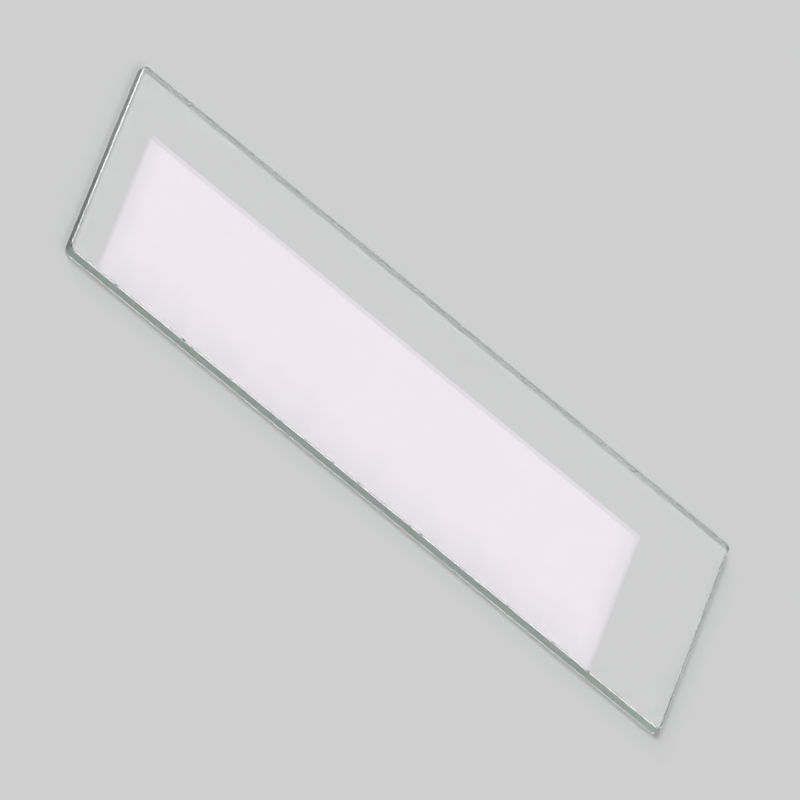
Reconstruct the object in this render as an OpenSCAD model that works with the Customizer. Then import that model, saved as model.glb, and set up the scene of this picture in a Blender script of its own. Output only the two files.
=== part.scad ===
// Plain microscope slide: one pane of clear glass with ground edges.
// It lies flat, face up. The origin is the centre of the underside, +X runs
// along the length, +Y across the width and +Z out of the upper face.

/* [Pane] */
// Length of the slide
slide_l = 76; // [50:0.1:100]
// Width of the slide
slide_w = 26; // [15:0.1:60]
// Thickness of the glass
slide_t = 1; // [0.8:0.01:2]

/* [Ground edges] */
// Radius of the four corners, seen from above
corner_r = 0.6; // [0.4:0.05:3]
// Width and depth of the bevel that is ground along every edge
arris = 0.12; // [0.05:0.01:0.3]

/* [Hidden] */
$fn = 64;

// Section of the glass across a given width: two flat faces, two upright
// edges and a bevel on each of the four corners of the section
module bevelled_section(width)
    polygon([
        [arris, 0],
        [width - arris, 0],
        [width, arris],
        [width, slide_t - arris],
        [width - arris, slide_t],
        [arris, slide_t],
        [0, slide_t - arris],
        [0, arris]
    ]);

// Round corner post: half of the same section, turned about its middle
module corner_post()
    rotate_extrude()
        intersection() {
            translate([-corner_r, 0]) bevelled_section(2 * corner_r);
            square([corner_r, slide_t]);
        }

// Middle of the slide, which ends where the round corners begin and
// carries the bevels of the two long edges
module long_edge_bar()
    translate([corner_r, 0, 0])
        rotate([90, 0, 90])
            linear_extrude(height = slide_l - 2 * corner_r)
                bevelled_section(slide_w);

// The same across the slide, with the bevels of the two ends
module end_bar()
    translate([0, slide_w - corner_r, 0])
        rotate([90, 0, 0])
            linear_extrude(height = slide_w - 2 * corner_r)
                bevelled_section(slide_l);

// The whole slide, laid out from one corner and then centred
module glass_slide()
    color([0.82, 0.90, 0.86, 0.55])
        translate([-slide_l / 2, -slide_w / 2, 0])
            union() {
                long_edge_bar();
                end_bar();
                for (x = [corner_r, slide_l - corner_r])
                    for (y = [corner_r, slide_w - corner_r])
                        translate([x, y, 0]) corner_post();
            }

glass_slide();
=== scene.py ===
import math

import bpy
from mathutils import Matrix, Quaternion, Vector


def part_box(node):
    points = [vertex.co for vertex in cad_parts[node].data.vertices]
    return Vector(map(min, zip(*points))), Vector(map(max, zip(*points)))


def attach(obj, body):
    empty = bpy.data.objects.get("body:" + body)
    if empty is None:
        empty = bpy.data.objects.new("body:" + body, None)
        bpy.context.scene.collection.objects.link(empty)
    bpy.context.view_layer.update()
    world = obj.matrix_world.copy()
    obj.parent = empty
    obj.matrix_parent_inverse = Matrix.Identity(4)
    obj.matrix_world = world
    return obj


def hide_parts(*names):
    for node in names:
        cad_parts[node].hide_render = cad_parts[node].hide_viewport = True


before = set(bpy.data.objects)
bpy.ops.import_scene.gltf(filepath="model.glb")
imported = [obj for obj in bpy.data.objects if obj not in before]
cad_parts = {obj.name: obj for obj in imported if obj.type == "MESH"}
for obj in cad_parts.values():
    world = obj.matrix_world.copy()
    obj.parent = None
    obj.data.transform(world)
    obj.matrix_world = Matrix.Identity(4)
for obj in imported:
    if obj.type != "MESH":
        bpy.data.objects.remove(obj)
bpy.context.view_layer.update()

MM = 0.001

# The pane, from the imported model: its length, width and thickness
pane_low, pane_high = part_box("glass_slide")
PANE = pane_high - pane_low
MIDDLE = (pane_low + pane_high) / 2
CORNER_R = 0.6 * MM
ARRIS = 0.12 * MM

# Mesh: points round a corner, spacing along the edge, rows up one bevel and up the
# wall between, how close points are joined, and the least angle that stays sharp
CORNER_POINTS = 12
EDGE_STEP = 0.06 * MM
BEVEL_ROWS = 5
WALL_ROWS = 6
JOIN_WITHIN = 0.001 * MM
SHARP_ANGLE = math.radians(24)

# A bevel's width wanders and jitters by these shares of it, over these lengths. The
# upper bevel reads the same noise this far away, and its chips have later seeds
WANDER = 0.3
WANDER_LENGTH = 1.1 * MM
JAG = 0.1
JAG_LENGTH = 0.16 * MM
UPPER_SHIFT = 0.5
UPPER_SEEDS = 10

# The wall's grind: its depth and grain, and how far up a bevel it starts to fade in
GRIND_DEPTH = 0.012 * MM
GRIND_GRAIN = 0.25 * MM
GRIND_FROM = 0.8

# Chips on each bevel: how many, the longest, the shortest as a share of it, how rare
# long ones are, how deep for half their length, how hollow, and the least bite that
# looks fresh all over
CHIPS = 40
LONGEST_CHIP = 0.32 * MM
SHORTEST_SHARE = 0.12
LONG_RARITY = 4.0
CHIP_DEPTH = 0.45
CHIP_HOLLOW = 1.2
FRESH_BITE = 0.02 * MM
SEED = 7

# Glass: how it bends light, and what its body and its ground wall do to the colour
GLASS_IOR = 1.52
BODY_COLOUR = (0.3, 0.62, 0.48, 1.0)
BODY_DENSITY = 5.0
WALL_COLOUR = (0.50, 0.565, 0.53, 1.0)
WALL_COLOUR_LEAST = 0.5

# Its finish: fine streaks along the ground edge, roughness on the bevels, from the
# grain and on the wall, depth of the bumps, their share on bevels, gloss of chips
STREAK_HEIGHT = 0.09 * MM
STREAK_SQUEEZE = 0.06
GRAIN_SIZE = 0.07 * MM
BEVEL_ROUGH = 0.13
GRAIN_ROUGH = 0.12
WALL_ROUGH = 0.35
BUMP_DEPTH = 0.01 * MM
BEVEL_BUMPS = 0.35
CHIP_GLOSS = 0.85

# Camera: where it stands round the slide, how it is turned, how far off it is, how
# wide a strip it sees there, and how far it sees at all
VIEW_AZIMUTH = math.radians(-24.0)
VIEW_ELEVATION = math.radians(41.1)
VIEW_ROLL = math.radians(55.7)
VIEW_DISTANCE = 2.5
VIEW_WIDTH = 76 * MM
VIEW_END = 20.0

# The floor: half its side, how far it lies below the underside, and its colour
FLOOR_HALF = 3.0
FLOOR_DROP = 0.04 * MM
FLOOR_COLOUR = (0.62, 0.62, 0.625, 1.0)
FLOOR_ROUGH = 0.9

# The room's even light, and how much brighter it looks than it lights
ROOM_LIGHT = 0.5
ROOM_SEEN = 0.12

# Far lamps: the way to each, its light on a surface that faces it, and its width in
# degrees as seen from the slide
FAR_LAMPS = {
    "softbox": ((-0.7, 0.3, 1.1), 0.47, 36),
    "fill": ((0.4, -0.88, 0.93), 0.12, 7),
    "rim": ((-0.66, 0.69, 0.31), 0.13, 9),
}

# The strip lamp's height and glow, and its image in the face: centre from the
# slide's, and size
STRIP_HEIGHT = 1.2
STRIP_GLOW = 2.15
STRIP_CENTRE = (-2.7 * MM, -3.2 * MM)
STRIP_LENGTH = 63 * MM
STRIP_WIDTH = 19.4 * MM
# The strip's cloth: its tint, how much it dims at its rim, how far in that reaches
# from the two ends and from the near side, and how cloudy its border is
STRIP_TINT = (1.0, 0.78, 1.0)
STRIP_DIM = 0.4
END_FADE = 2.0 * MM
NEAR_FADE = 6.0 * MM
CLOUD_SIZE = 2.2 * MM
CLOUD_DETAIL = 5.0
CLOUD_REACH = 1.6

# How often light may turn inside the glass
BOUNCES = 32


# ---------------------------------------------------------------- node trees


class Wire:
    """A node's output. Sums on it add Math nodes, or Vector Math on a vector."""

    def __init__(self, graph, socket):
        self.graph = graph
        self.socket = socket

    def __add__(self, other):
        return self.graph.math("ADD", self, other)

    def __radd__(self, other):
        return self.graph.math("ADD", other, self)

    def __sub__(self, other):
        return self.graph.math("SUBTRACT", self, other)

    def __rsub__(self, other):
        return self.graph.math("SUBTRACT", other, self)

    def __mul__(self, other):
        return self.graph.math("MULTIPLY", self, other)

    def __rmul__(self, other):
        return self.graph.math("MULTIPLY", other, self)

    def __truediv__(self, other):
        return self.graph.math("DIVIDE", self, other)

    def __rtruediv__(self, other):
        return self.graph.math("DIVIDE", other, self)

    def __pow__(self, other):
        return self.graph.math("POWER", self, other)


class Graph:
    """Builds a node tree, for geometry, a material or a light."""

    def __init__(self, tree):
        self.tree = tree

    def add(self, kind, settings=None, *values, out=0, **named):
        """Adds a node. Settings go first, then values or wires by place or name."""
        node = self.tree.nodes.new(kind)
        for name, value in (settings or {}).items():
            setattr(node, name, value)
        open_inputs = [entry for entry in node.inputs if entry.enabled]
        by_name = {}
        for entry in open_inputs:
            by_name.setdefault(entry.name.lower().replace(" ", "_"), entry)
        pairs = list(zip(open_inputs, values))
        pairs += [(by_name[name], value) for name, value in named.items()]
        for entry, value in pairs:
            self.feed(entry, value)
        return node if out is None else self.output(node, out)

    def feed(self, entry, value):
        """Links a wire, or several of them, to an input, or sets its value."""
        if isinstance(value, list):
            for wire in value:
                self.feed(entry, wire)
        elif isinstance(value, Wire):
            self.tree.links.new(value.socket, entry)
        else:
            entry.default_value = value

    def output(self, node, out):
        """A node's output, by name or by its place among those in use."""
        open_outputs = [socket for socket in node.outputs if socket.enabled]
        if isinstance(out, str):
            return Wire(self, next(s for s in open_outputs if s.name == out))
        return Wire(self, open_outputs[out])

    def math(self, operation, first, second=0.0):
        """One sum on two terms, each a wire, a number or a vector."""
        terms = (first, second)
        if not any(isinstance(t, Wire) and t.socket.type == "VECTOR" for t in terms):
            return self.add("ShaderNodeMath", {"operation": operation}, *terms)
        terms = [(t, t, t) if isinstance(t, (int, float)) else t for t in terms]
        return self.vector(operation, *terms)

    def vector(self, operation, first, second, out=0):
        """One vector sum, which may give a number."""
        settings = {"operation": operation}
        return self.add("ShaderNodeVectorMath", settings, first, second, out=out)

    def clamp(self, value):
        """Keeps a value between 0 and 1."""
        return self.add("ShaderNodeClamp", {}, value, 0.0, 1.0)

    def noise(self, place, size, detail=2.0):
        """Smooth noise from 0 to 1 with features of about the given size."""
        return self.add(
            "ShaderNodeTexNoise", {}, vector=place, scale=1 / size, detail=detail
        )

    def capture(self, geometry, **fields):
        """Keeps fields on a geometry's points, for use after it changes."""
        node = self.tree.nodes.new("GeometryNodeCaptureAttribute")
        kinds = {"VALUE": "FLOAT", "VECTOR": "VECTOR"}
        for name, wire in fields.items():
            node.capture_items.new(kinds[wire.socket.type], name)
        self.feed(node.inputs["Geometry"], geometry)
        for name, wire in fields.items():
            self.feed(node.inputs[name], wire)
        return [self.output(node, name) for name in ("Geometry", *fields)]


# ---------------------------------------------------------------- the pane


def chip_bite(graph, outline, place, count, longest, seed):
    """How deep the chips of one bevel bite at a place on the outline."""
    luck = {
        name: graph.add("FunctionNodeRandomValue", {}, min=0.0, max=1.0, seed=draw)
        for name, draw in (("where", seed), ("long", seed + 1))
    }
    spots = graph.add("GeometryNodePoints", {}, count=count)
    along = graph.add(
        "GeometryNodeSampleCurve",
        {"mode": "FACTOR", "use_all_curves": True},
        curves=outline,
        factor=luck["where"],
        out="Position",
    )
    spots = graph.add("GeometryNodeSetPosition", {}, geometry=spots, position=along)
    nearest = graph.add(
        "GeometryNodeSampleNearest", {}, geometry=spots, sample_position=place
    )

    def of_nearest(kind, value):
        return graph.add(
            "GeometryNodeSampleIndex",
            {"data_type": kind},
            geometry=spots,
            value=value,
            index=nearest,
        )

    spread = SHORTEST_SHARE + (1.0 - SHORTEST_SHARE) * luck["long"] ** LONG_RARITY
    centre = of_nearest("FLOAT_VECTOR", graph.add("GeometryNodeInputPosition"))
    half_length = of_nearest("FLOAT", longest * spread)
    off = graph.vector("DISTANCE", place, centre, out="Value")
    inside = graph.clamp(1.0 - (off / half_length) ** 2.0)
    return inside ** 0.5 * half_length * CHIP_DEPTH


def pane_tree(name, sizes):
    """Geometry Nodes: the ground edge swept round the outline, and both faces."""
    tree = bpy.data.node_groups.new(name, "GeometryNodeTree")
    kinds = {int: "NodeSocketInt", float: "NodeSocketFloat"}
    for label, value in sizes.items():
        kind = kinds.get(type(value), "NodeSocketMaterial")
        tree.interface.new_socket(label, in_out="INPUT", socket_type=kind)
    tree.interface.new_socket("Pane", in_out="OUTPUT", socket_type="NodeSocketGeometry")
    graph = Graph(tree)
    start = graph.add("NodeGroupInput", out=None)
    size = {label: graph.output(start, label) for label in sizes}

    outline = graph.add(
        "GeometryNodeCurvePrimitiveQuadrilateral",
        {"mode": "RECTANGLE"},
        width=size["Length"],
        height=size["Width"],
    )
    outline = graph.add(
        "GeometryNodeFilletCurve",
        {"mode": "POLY"},
        curve=outline,
        count=CORNER_POINTS,
        radius=size["Corner radius"],
    )
    outline = graph.add(
        "GeometryNodeResampleCurve",
        {"mode": "LENGTH"},
        curve=outline,
        length=size["Edge step"],
    )
    outline, place, way, run = graph.capture(
        outline,
        place=graph.add("GeometryNodeInputPosition"),
        way=graph.add("GeometryNodeInputTangent"),
        run=graph.add("GeometryNodeSplineParameter", out="Length"),
    )
    section = graph.add(
        "GeometryNodeCurvePrimitiveLine", {"mode": "POINTS"}, end=(0.0, 0.0, 1.0)
    )
    rows = 2 * BEVEL_ROWS + WALL_ROWS
    section = graph.add(
        "GeometryNodeResampleCurve", {"mode": "COUNT"}, curve=section, count=rows + 1
    )
    section, climb = graph.capture(
        section, climb=graph.add("GeometryNodeSplineParameter", out="Factor")
    )
    band = graph.add(
        "GeometryNodeCurveToMesh", {}, curve=outline, profile_curve=section
    )

    # Share of the way up the lower bevel, the upright edge and the upper bevel
    share = BEVEL_ROWS / rows
    lower = graph.clamp(climb / share)
    upright = graph.clamp((climb - share) / (1 - 2 * share))
    upper = graph.clamp((climb - (1 - share)) / share)

    # Each bevel's width wanders a little, and chips widen it and scoop it out
    bites = [
        chip_bite(graph, outline, place, size["Chips"], size["Longest chip"], seed)
        for seed in (size["Seed"], size["Seed"] + UPPER_SEEDS)
    ]
    bevels = []
    for shift, bite in zip((0.0, UPPER_SHIFT), bites):
        wander = graph.noise(place + shift, WANDER_LENGTH) - 0.5
        jag = graph.noise(place + shift, JAG_LENGTH) - 0.5
        bevels.append(size["Arris"] * (1.0 + WANDER * wander + JAG * jag) + bite)
    scoops = [
        CHIP_HOLLOW * part * (1.0 - part) * bite
        for part, bite in zip((lower, upper), bites)
    ]
    inset = bevels[0] * (1.0 - lower) + bevels[1] * upper + scoops[0] + scoops[1]
    height = (
        bevels[0] * lower
        + (size["Thickness"] - bevels[0] - bevels[1]) * upright
        + bevels[1] * upper
        + scoops[0]
        - scoops[1]
    )
    wall = graph.math("MINIMUM", lower, 1.0 - upper)
    wall = graph.clamp((wall - GRIND_FROM) * (1 / (1 - GRIND_FROM)))
    up = graph.add("ShaderNodeCombineXYZ", {}, z=height)
    grain = graph.noise(place + up, GRIND_GRAIN) - 0.5
    outward = graph.vector("CROSS_PRODUCT", way, (0.0, 0.0, 1.0))
    level = place * (1.0, 1.0, 0.0)
    spot = level + up - outward * (inset + wall * grain * size["Grind depth"])
    band = graph.add("GeometryNodeSetPosition", {}, geometry=band, position=spot)
    band = graph.add("GeometryNodeFlipFaces", {}, mesh=band)

    # What the finish follows: ground or not, wall, fresh chips, and the grind
    # direction as distance along the edge and height up it
    fresh = graph.clamp(((1.0 - lower) * bites[0] + upper * bites[1]) / FRESH_BITE)
    grind = graph.add("ShaderNodeCombineXYZ", {}, run, height)
    marks = {
        "ground": ("FACE", "FLOAT", 1.0),
        "wall": ("POINT", "FLOAT", wall),
        "fresh": ("POINT", "FLOAT", fresh),
        "grind": ("POINT", "FLOAT_VECTOR", grind),
    }
    for label, (domain, kind, value) in marks.items():
        band = graph.add(
            "GeometryNodeStoreNamedAttribute",
            {"domain": domain, "data_type": kind},
            geometry=band,
            name=label,
            value=value,
        )

    # The faces fill the two open rims of the swept edge
    rim = graph.add(
        "FunctionNodeCompare",
        {"data_type": "INT", "operation": "EQUAL"},
        graph.add("GeometryNodeInputMeshEdgeNeighbors"),
        1,
    )
    above = graph.add(
        "ShaderNodeSeparateXYZ", {}, graph.add("GeometryNodeInputPosition"), out="Z"
    )
    faces = []
    for side, level_z in (("GREATER_THAN", size["Thickness"]), ("LESS_THAN", 0.0)):
        half = graph.add(
            "FunctionNodeCompare",
            {"data_type": "FLOAT", "operation": side},
            above,
            size["Thickness"] * 0.5,
        )
        both = graph.add("FunctionNodeBooleanMath", {"operation": "AND"}, rim, half)
        ring = graph.add("GeometryNodeMeshToCurve", {}, mesh=band, selection=both)
        face = graph.add("GeometryNodeFillCurve", {"mode": "NGONS"}, curve=ring)
        face = graph.add(
            "GeometryNodeSetPosition",
            {},
            geometry=face,
            offset=graph.add("ShaderNodeCombineXYZ", {}, z=level_z),
        )
        if side == "LESS_THAN":
            face = graph.add("GeometryNodeFlipFaces", {}, mesh=face)
        faces.append(face)
    pane = graph.add("GeometryNodeJoinGeometry", {}, geometry=[*faces, band])
    pane = graph.add(
        "GeometryNodeMergeByDistance", {}, geometry=pane, distance=JOIN_WITHIN
    )
    crease = graph.add(
        "FunctionNodeCompare",
        {"data_type": "FLOAT", "operation": "GREATER_THAN"},
        graph.add("GeometryNodeInputMeshEdgeAngle", out="Unsigned Angle"),
        SHARP_ANGLE,
    )
    pane = graph.add(
        "GeometryNodeSetShadeSmooth",
        {"domain": "EDGE"},
        geometry=pane,
        selection=crease,
        shade_smooth=False,
    )
    pane = graph.add("GeometryNodeRealizeInstances", {}, geometry=pane)
    pane = graph.add(
        "GeometryNodeSetMaterial", {}, geometry=pane, material=size["Glass"]
    )
    graph.add("NodeGroupOutput", {}, pane, out=None)
    return tree


def settled(obj):
    """Turns the result of an object's modifiers into its own plain mesh."""
    depsgraph = bpy.context.evaluated_depsgraph_get()
    mesh = bpy.data.meshes.new_from_object(obj.evaluated_get(depsgraph))
    obj.modifiers.clear()
    obj.data = mesh
    while None in list(mesh.materials):
        mesh.materials.pop(index=list(mesh.materials).index(None))
    return obj


def new_object(name, data):
    """Adds an object to the scene, unturned at the origin."""
    obj = bpy.data.objects.new(name, data)
    bpy.context.scene.collection.objects.link(obj)
    return obj


def glass_pane(glass):
    """The slide: one closed mesh with flat faces and ground, chipped edges."""
    sizes = {
        "Length": PANE.x,
        "Width": PANE.y,
        "Thickness": PANE.z,
        "Corner radius": CORNER_R,
        "Arris": ARRIS,
        "Edge step": EDGE_STEP,
        "Grind depth": GRIND_DEPTH,
        "Chips": CHIPS,
        "Longest chip": LONGEST_CHIP,
        "Seed": SEED,
        "Glass": glass,
    }
    pane = new_object("slide_pane", bpy.data.meshes.new("slide_pane"))
    maker = pane.modifiers.new("pane", "NODES")
    maker.node_group = pane_tree("pane", sizes)
    for entry in maker.node_group.interface.items_tree:
        if entry.in_out == "INPUT":
            maker[entry.identifier] = sizes[entry.name]
    pane = settled(pane)
    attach(pane, "root")
    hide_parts("glass_slide")


# ---------------------------------------------------------------- materials


def new_material(name):
    """An empty material, and the graph that fills it."""
    material = bpy.data.materials.new(name)
    material.use_nodes = True
    material.node_tree.nodes.clear()
    return material, Graph(material.node_tree)


def clear_glass():
    """Faintly green glass, polished on its faces and matt where it is ground."""
    material, graph = new_material("clear_glass")
    outs = {"ground": "Fac", "wall": "Fac", "fresh": "Fac", "grind": "Vector"}
    marks = {
        label: graph.add("ShaderNodeAttribute", {"attribute_name": label}, out=out)
        for label, out in outs.items()
    }
    place = graph.add("ShaderNodeTexCoord", out="Object")
    matt = marks["ground"] * (1.0 - CHIP_GLOSS * marks["fresh"])
    lengthwise = marks["grind"] * (STREAK_SQUEEZE, 1.0, 1.0)
    streak = graph.noise(lengthwise, STREAK_HEIGHT, 1.0)
    grain = graph.noise(place, GRAIN_SIZE, 0.0)
    tint = graph.add(
        "ShaderNodeMix",
        {"data_type": "RGBA"},
        factor=marks["wall"] * (WALL_COLOUR_LEAST + streak),
        a=(1.0, 1.0, 1.0, 1.0),
        b=WALL_COLOUR,
    )
    ridges = BEVEL_BUMPS + (1.0 - BEVEL_BUMPS) * marks["wall"]
    bump = graph.add(
        "ShaderNodeBump",
        {},
        strength=1.0,
        distance=BUMP_DEPTH,
        height=streak * matt * ridges,
    )
    rough = BEVEL_ROUGH + GRAIN_ROUGH * grain + WALL_ROUGH * marks["wall"]
    surface = graph.add(
        "ShaderNodeBsdfPrincipled",
        {},
        base_color=tint,
        roughness=matt * rough,
        ior=GLASS_IOR,
        transmission_weight=1.0,
        normal=bump,
    )
    volume = graph.add(
        "ShaderNodeVolumeAbsorption", {}, color=BODY_COLOUR, density=BODY_DENSITY
    )
    graph.add("ShaderNodeOutputMaterial", {}, surface=surface, volume=volume, out=None)
    return material


def pale_floor():
    """Plain pale matt floor."""
    material, graph = new_material("pale_floor")
    surface = graph.add(
        "ShaderNodeBsdfPrincipled",
        {},
        base_color=FLOOR_COLOUR,
        roughness=FLOOR_ROUGH,
        specular_ior_level=0.0,
    )
    graph.add("ShaderNodeOutputMaterial", {}, surface=surface, out=None)
    return material


# ---------------------------------------------------------------- the studio


def floor():
    """A plain pale floor, a hair below the underside as real glass rests."""
    mesh = bpy.data.meshes.new("floor")
    corners = [
        (x * FLOOR_HALF, y * FLOOR_HALF, pane_low.z - FLOOR_DROP)
        for x, y in ((-1, -1), (1, -1), (1, 1), (-1, 1))
    ]
    mesh.from_pydata(corners, [], [(0, 1, 2, 3)])
    mesh.materials.append(pale_floor())
    new_object("floor", mesh)


def view_back():
    """The way from the slide to the camera."""
    a, e = VIEW_AZIMUTH, VIEW_ELEVATION
    return Vector((math.sin(a) * math.cos(e), -math.cos(a) * math.cos(e), math.sin(e)))


def camera():
    """Looks down on the face, with the slide lying across the picture."""
    back = view_back()
    data = bpy.data.cameras.new("camera")
    data.lens = data.sensor_width * VIEW_DISTANCE / VIEW_WIDTH
    data.clip_end = VIEW_END
    cam = new_object("camera", data)
    cam.rotation_mode = "QUATERNION"
    cam.location = MIDDLE + back * VIEW_DISTANCE
    level = (-back).to_track_quat("-Z", "Y")
    cam.rotation_quaternion = Quaternion(back, VIEW_ROLL) @ level
    bpy.context.scene.camera = cam


def far_lamp(name, toward, level, degrees):
    """A lamp too far off to fade across the floor, as wide as the given angle."""
    data = bpy.data.lights.new(name, "SUN")
    data.energy = level * math.pi
    data.angle = math.radians(degrees)
    lamp = new_object(name, data)
    lamp.visible_camera = False
    lamp.rotation_mode = "QUATERNION"
    lamp.rotation_quaternion = (-Vector(toward)).to_track_quat("-Z", "Y")


def lamp_cloth(data):
    """The strip's front: even in the middle, and dimmer and cloudy towards its rim."""
    data.use_nodes = True
    data.node_tree.nodes.clear()
    graph = Graph(data.node_tree)
    place = graph.add("ShaderNodeNewGeometry", out="Parametric")
    place = place * (STRIP_LENGTH, STRIP_WIDTH, 0.0)
    axes = graph.add("ShaderNodeSeparateXYZ", {}, place, out=None)
    along, across = graph.output(axes, "X"), graph.output(axes, "Y")
    ends = graph.math("MINIMUM", along, STRIP_LENGTH - along)
    rim = graph.math("MINIMUM", ends / END_FADE, across / NEAR_FADE)
    cloud = graph.noise(place, CLOUD_SIZE, CLOUD_DETAIL) - 0.5
    inside = graph.clamp(rim + cloud * CLOUD_REACH)
    glow = graph.add(
        "ShaderNodeEmission",
        {},
        color=(1.0, 1.0, 1.0, 1.0),
        strength=1.0 - STRIP_DIM + STRIP_DIM * inside,
    )
    graph.add("ShaderNodeOutputLight", {}, surface=glow, out=None)


def mirrored_strip():
    """A dim strip lamp overhead, placed so that the face mirrors it to the camera."""
    back = view_back()
    mirror_eye = MIDDLE + Vector((back.x, back.y, -back.z)) * VIEW_DISTANCE
    spot = MIDDLE + Vector((*STRIP_CENTRE, PANE.z / 2))
    grow = 1 + STRIP_HEIGHT / (back.z * VIEW_DISTANCE)
    data = bpy.data.lights.new("strip", "AREA")
    data.shape = "RECTANGLE"
    data.size, data.size_y = STRIP_LENGTH * grow, STRIP_WIDTH * grow
    data.energy = STRIP_GLOW * math.pi * data.size * data.size_y
    data.color = STRIP_TINT
    lamp_cloth(data)
    lamp = new_object("strip", data)
    lamp.visible_camera = False
    lamp.location = mirror_eye + (spot - mirror_eye) * grow


def room():
    """Even pale light from all round, a little brighter to look at."""
    world = bpy.data.worlds.new("studio")
    world.use_nodes = True
    world.node_tree.nodes.clear()
    graph = Graph(world.node_tree)
    path = graph.add("ShaderNodeLightPath", out=None)
    rays = ("Is Camera Ray", "Is Glossy Ray", "Is Transmission Ray")
    rays = [graph.output(path, ray) for ray in rays]
    seen = graph.clamp(rays[0] + rays[1] + rays[2])
    sky = graph.add(
        "ShaderNodeBackground",
        {},
        color=(1.0, 1.0, 1.0, 1.0),
        strength=ROOM_LIGHT + ROOM_SEEN * seen,
    )
    graph.add("ShaderNodeOutputWorld", {}, surface=sky, out=None)
    bpy.context.scene.world = world


camera()
floor()
glass_pane(clear_glass())
room()
for name, lamp in FAR_LAMPS.items():
    far_lamp(name, *lamp)
mirrored_strip()
bpy.context.scene.view_settings.view_transform = "Standard"
cycles = bpy.context.scene.cycles
cycles.blur_glossy = 0.0
cycles.max_bounces = BOUNCES
cycles.glossy_bounces = BOUNCES
cycles.transmission_bounces = BOUNCES
